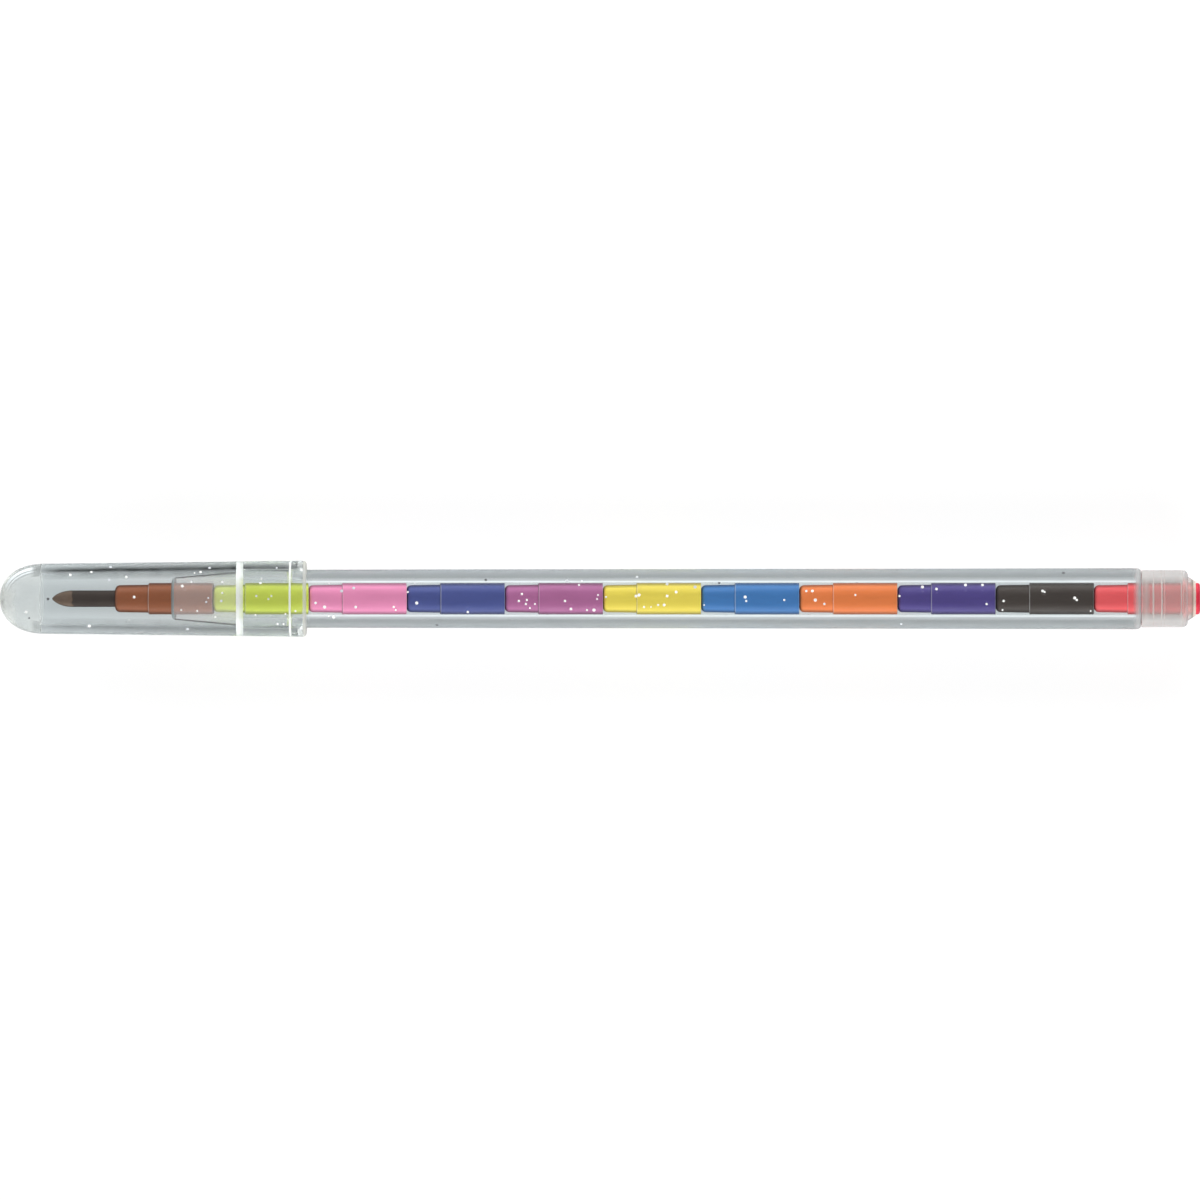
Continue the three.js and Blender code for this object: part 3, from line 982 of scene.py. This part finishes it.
def scallopedEdge(nodes, links, coords, pointEnd):
    # 1 on the sharpened point and 0 behind it, with a wavy border between the two
    place = addNode(nodes, "ShaderNodeSeparateXYZ")
    links.new(coords.outputs["Object"], place.inputs[0])
    depth, blend = waxLook["scallopDepth"] * mm, waxLook["pointBlend"] * mm
    scallops = noiseBetween(nodes, links, coords.outputs["Object"], waxLook["scallopScale"],
                            -depth, depth, detail=0.0)
    shifted = addNode(nodes, "ShaderNodeMath", operation="ADD")
    links.new(place.outputs["X"], shifted.inputs[0])
    links.new(scallops, shifted.inputs[1])
    edge = addNode(nodes, "ShaderNodeMapRange", {
        "From Min": pointEnd - blend, "From Max": pointEnd + blend, "To Min": 1.0, "To Max": 0.0})
    links.new(shifted.outputs[0], edge.inputs["Value"])
    return edge.outputs["Result"]


def mottledPoint(nodes, links, colour, grain, onPoint):
    # the wax's own colour, and a paler, mottled one on the sharpened point
    def lifted(lift):
        return rgba(tuple(waxLook["pointShade"] * part + more for part, more in zip(colour, lift)))
    mottle = addNode(nodes, "ShaderNodeMix", {
        6: lifted(waxLook["paleLift"]), 7: lifted(waxLook["darkLift"])}, data_type="RGBA")
    links.new(grain, mottle.inputs["Factor"])
    tone = addNode(nodes, "ShaderNodeMix", {6: rgba(colour)}, data_type="RGBA")
    links.new(onPoint, tone.inputs["Factor"])
    links.new(mottle.outputs[2], tone.inputs[7])
    return tone.outputs[2]


def waxMaterial(name, colour, pointEnd):
    material, nodes, links = newMaterial(name)
    look = waxLook
    coords = addNode(nodes, "ShaderNodeTexCoord")
    grain = addNode(nodes, "ShaderNodeTexNoise", {
        "Scale": look["grainScale"], "Detail": look["grainDetail"], "Roughness": look["grainRoughness"]})
    links.new(coords.outputs["Object"], grain.inputs["Vector"])
    onPoint = scallopedEdge(nodes, links, coords, pointEnd)
    bump = addNode(nodes, "ShaderNodeBump", {
        "Strength": look["bumpStrength"], "Distance": look["bumpDepth"] * mm})
    links.new(grain.outputs["Fac"], bump.inputs["Height"])
    shader = addNode(nodes, "ShaderNodeBsdfPrincipled", {
        "Roughness": look["roughness"], "IOR": look["ior"], "Specular IOR Level": look["specular"]})
    tone = mottledPoint(nodes, links, colour, grain.outputs["Fac"], onPoint)
    links.new(tone, shader.inputs["Base Color"])
    links.new(bump.outputs["Normal"], shader.inputs["Normal"])
    edge = paintedEdgeShade(look, colour, look["edgeShare"])
    finishSurface(nodes, links, edgeShaded(nodes, links, shader.outputs[0], edge))
    return material


def sleeveCorners(front, rear, isLast):
    sizes = sleeveSizes
    corners = [
        (front + sizes["leadSeatDepth"], 0, 0),
        (front + sizes["leadSeatDepth"], sizes["leadBoreRadius"], 0),
        (front, sizes["leadBoreRadius"], 0),
        (front, sizes["frontRadius"] - sizes["frontDraft"], sizes["shoulderRound"]),
        (front + sizes["frontLength"], sizes["frontRadius"], 0),
        (front + sizes["frontLength"], sizes["radius"], sizes["stepRound"]),
    ]
    if isLast:
        corners.append((rear - sizes["bareEnd"], sizes["radius"], 0))
    return corners + [
        (rear, sizes["radius"], sizes["lastRearRound"] if isLast else sizes["rearRound"]),
        (rear, sizes["socketRadius"] + sizes["mouthChamfer"], 0),
        (rear - sizes["mouthChamfer"], sizes["socketRadius"], 0),
        (front + sizes["socketFloor"], sizes["socketRadius"], 0),
        (front + sizes["socketFloor"], 0, 0),
    ]


def sleeveLooks(colourName, isLast):
    # the body, its lit edges, and on the last sleeve the end that stands out bare
    colour = linear(*crayonColours[colourName]["sleeve"])
    # a lighter copy of the colour: painted highlight on the step's rounded edge and on the mouth edge
    light = tuple(part + (1 - part) * sleeveLook["stepEdgeHighlight"] for part in colour)
    body = sleevePlastic(f"{colourName} sleeve plastic", colour, sleeveLook["edgeShare"])
    rim = sleevePlastic(f"{colourName} sleeve rim highlight", light, sleeveLook["edgeShare"])
    if not isLast:
        return body, rim, rim
    bareColour = linear(*sleeveLook["bareEndColour"])
    return body, rim, sleevePlastic(f"{colourName} sleeve bare end", bareColour, sleeveLook["bareEdgeShare"])


def makeSleeve(number, colourName, isLast):
    sizes = sleeveSizes
    node = f"sleeve_{number:02d}_{colourName}"
    low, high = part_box(node)
    front, rear = low.x / mm, high.x / mm + (0 if isLast else sizes["rearReach"])
    body, rim, bare = sleeveLooks(colourName, isLast)
    corners = sleeveCorners(front, rear, isLast)
    piece = turned(f"sleeve{number:02d}", corners, [body, rim, bare], segments=72, closed=False)
    step = front + sizes["frontLength"]
    stepFrom, stepTo = step - meshSet["hair"], step + sizes["stepRound"]
    rimFrom, mouthFrom = sizes["rimFromRadius"], rear - sizes["rearRound"]
    # painted highlight on the step's rounded edge and the mouth edge
    paintFaces(piece, rim, lambda x, radius: stepFrom < x < stepTo and radius > rimFrom)
    paintFaces(piece, rim, lambda x, radius: x > mouthFrom and radius > rimFrom)
    if isLast:
        paintFaces(piece, bare, lambda x, radius: x > rear - sizes["bareEnd"])
    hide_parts(node)
    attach(piece, f"crayon_{number:02d}")


def makeLead(number, colourName):
    sizes = leadSizes
    node = f"lead_{number:02d}_{colourName}"
    low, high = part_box(node)
    tip, root = low.x / mm, high.x / mm
    corners = [(tip, 0, 0)]
    for step in range(1, sizes["pointSteps"] + 1):
        left = 1 - (step / sizes["pointSteps"]) ** sizes["pointSpacing"]
        radius = sizes["radius"] * (1 - left ** 2) ** sizes["pointPower"]
        corners.append((tip + sizes["pointLength"] * (1 - left), radius, 0))
    corners += [(root, sizes["radius"], 0), (root, 0, 0)]
    material = waxMaterial(f"{colourName} wax", linear(*crayonColours[colourName]["wax"]),
                           (tip + sizes["pointLength"]) * mm)
    piece = turned(f"lead{number:02d}", corners, [material], segments=48, closed=False)
    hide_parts(node)
    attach(piece, f"crayon_{number:02d}")


for number, colourName in enumerate(crayonColours, 1):
    makeSleeve(number, colourName, number == len(crayonColours))
    makeLead(number, colourName)
print("crayons made:", len(crayonColours))


# camera, floor and light

cameraSet = {
    "lens": 600.0,
    "sensor": 36.0,
    "farthest": 20.0,
}


def makeCamera():
    data = bpy.data.cameras.new("camera")
    data.lens = cameraSet["lens"]
    data.sensor_width = cameraSet["sensor"]
    data.clip_end = cameraSet["farthest"]
    width = cadHigh.x - cadLow.x
    pixel = width / photoSet["width"]
    camera = bpy.data.objects.new("camera", data)
    camera.location = (
        (cadLow.x + cadHigh.x) / 2,
        (photoSet["axisRow"] - photoSet["width"] / 2) * pixel,
        axisHeight + cameraSet["lens"] / cameraSet["sensor"] * width,
    )
    bpy.context.scene.collection.objects.link(camera)
    bpy.context.scene.camera = camera


floorSet = {
    "size": 8.0,
    "underCap": 0.0001,
    "tone": (0.63, 0.675, 0.685),
    "behindPlastic": (0.03, 0.035, 0.04),
    "whiteLift": 0.83,
    "whiteShare": 0.25,
    "shadowReach": (0.17, 0.27),
}


def withGlow(nodes, links, colour, glow, strength=1.0):
    # a plain matt surface that also gives off some light of its own
    matt = addNode(nodes, "ShaderNodeBsdfDiffuse", {"Color": rgba(colour)})
    light = addNode(nodes, "ShaderNodeEmission", {"Color": rgba(glow), "Strength": strength})
    both = addNode(nodes, "ShaderNodeAddShader")
    links.new(matt.outputs[0], both.inputs[0])
    links.new(light.outputs[0], both.inputs[1])
    return both.outputs[0]


def floorMaterial():
    # white where the camera sees it, with a faint shadow near the crayon,
    # and pale grey behind the plastic
    material, nodes, links = newMaterial("pale floor")
    path = addNode(nodes, "ShaderNodeLightPath")
    plain = addNode(nodes, "ShaderNodeBsdfDiffuse", {"Color": rgba(floorSet["tone"])})
    lit = withGlow(nodes, links, floorSet["tone"], floorSet["behindPlastic"])
    behind = mixedShaders(nodes, links, path.outputs["Is Transmission Ray"], plain.outputs[0], lit)
    shaded = withGlow(nodes, links, (floorSet["whiteShare"],) * 3, white, floorSet["whiteLift"])
    coords = addNode(nodes, "ShaderNodeTexCoord")
    reach = addNode(nodes, "ShaderNodeVectorMath", operation="LENGTH")
    links.new(coords.outputs["Object"], reach.inputs[0])
    near, far = floorSet["shadowReach"]
    away = addNode(nodes, "ShaderNodeMapRange", {"From Min": near, "From Max": far})
    links.new(reach.outputs["Value"], away.inputs["Value"])
    clean = addNode(nodes, "ShaderNodeEmission", {"Color": rgba(white), "Strength": 1.0})
    front = mixedShaders(nodes, links, away.outputs["Result"], shaded, clean.outputs[0])
    finishSurface(nodes, links, mixedShaders(nodes, links, path.outputs["Is Camera Ray"], behind, front))
    return material


def makeFloor():
    bm = bmesh.new()
    bmesh.ops.create_grid(bm, x_segments=1, y_segments=1, size=floorSet["size"] / 2)
    mesh = bpy.data.meshes.new("floor")
    bm.to_mesh(mesh)
    bm.free()
    mesh.materials.append(floorMaterial())
    floor = bpy.data.objects.new("floor", mesh)
    floor.location.z = cadLow.z - floorSet["underCap"]
    bpy.context.scene.collection.objects.link(floor)


worldSet = {
    "ambient": 0.22,
    "overhead": 0.15,
    "lowDown": 1.2,
    "lowUpTo": 0.75,
    "beyondPlastic": 0.6,
    "seen": 1.0,
}


def background(nodes, strength=1.0):
    return addNode(nodes, "ShaderNodeBackground", {"Color": rgba(white), "Strength": strength})


def makeWorld():
    # one brightness on the object, another in its gloss, behind its plastic and to the camera
    world = bpy.data.worlds.new("studio")
    world.use_nodes = True
    nodes, links = world.node_tree.nodes, world.node_tree.links
    nodes.clear()
    path = addNode(nodes, "ShaderNodeLightPath")
    coords = addNode(nodes, "ShaderNodeTexCoord")
    split = addNode(nodes, "ShaderNodeSeparateXYZ")
    links.new(coords.outputs["Generated"], split.inputs[0])
    fall = addNode(nodes, "ShaderNodeMapRange", {
        "From Max": worldSet["lowUpTo"], "To Min": worldSet["lowDown"], "To Max": worldSet["overhead"]})
    links.new(split.outputs["Z"], fall.inputs["Value"])
    ceiling = background(nodes)
    links.new(fall.outputs["Result"], ceiling.inputs["Strength"])
    last = background(nodes, worldSet["ambient"]).outputs[0]
    for ray, light in (
            ("Is Transmission Ray", background(nodes, worldSet["beyondPlastic"])),
            ("Is Glossy Ray", ceiling),
            ("Is Camera Ray", background(nodes, worldSet["seen"]))):
        last = mixedShaders(nodes, links, path.outputs[ray], last, light.outputs[0])
    result = addNode(nodes, "ShaderNodeOutputWorld")
    links.new(last, result.inputs["Surface"])
    bpy.context.scene.world = world


lampSet = {
    "across": 0.35,
    "height": 0.122,
    "length": 0.5,
    "width": 0.17,
    "power": 1.85,
}


def makeLamps():
    for side in (-1, 1):
        data = bpy.data.lights.new("softbox", "AREA")
        data.shape = "RECTANGLE"
        data.size = lampSet["length"]
        data.size_y = lampSet["width"]
        data.energy = lampSet["power"]
        lamp = bpy.data.objects.new("softbox", data)
        lamp.location = (0, side * lampSet["across"], lampSet["height"])
        lamp.rotation_euler = (-side * math.atan2(lampSet["across"], lampSet["height"]), 0, 0)
        lamp.visible_glossy = False
        lamp.visible_transmission = False
        bpy.context.scene.collection.objects.link(lamp)


makeCamera()
makeFloor()
makeWorld()
makeLamps()

scene = bpy.context.scene
scene.view_settings.view_transform = "Standard"
scene.cycles.max_bounces = 40  # light passes through many walls one after the other
scene.cycles.glossy_bounces = 32
scene.cycles.transmission_bounces = 32
scene.cycles.transparent_max_bounces = 32
print("camera, floor and light made")
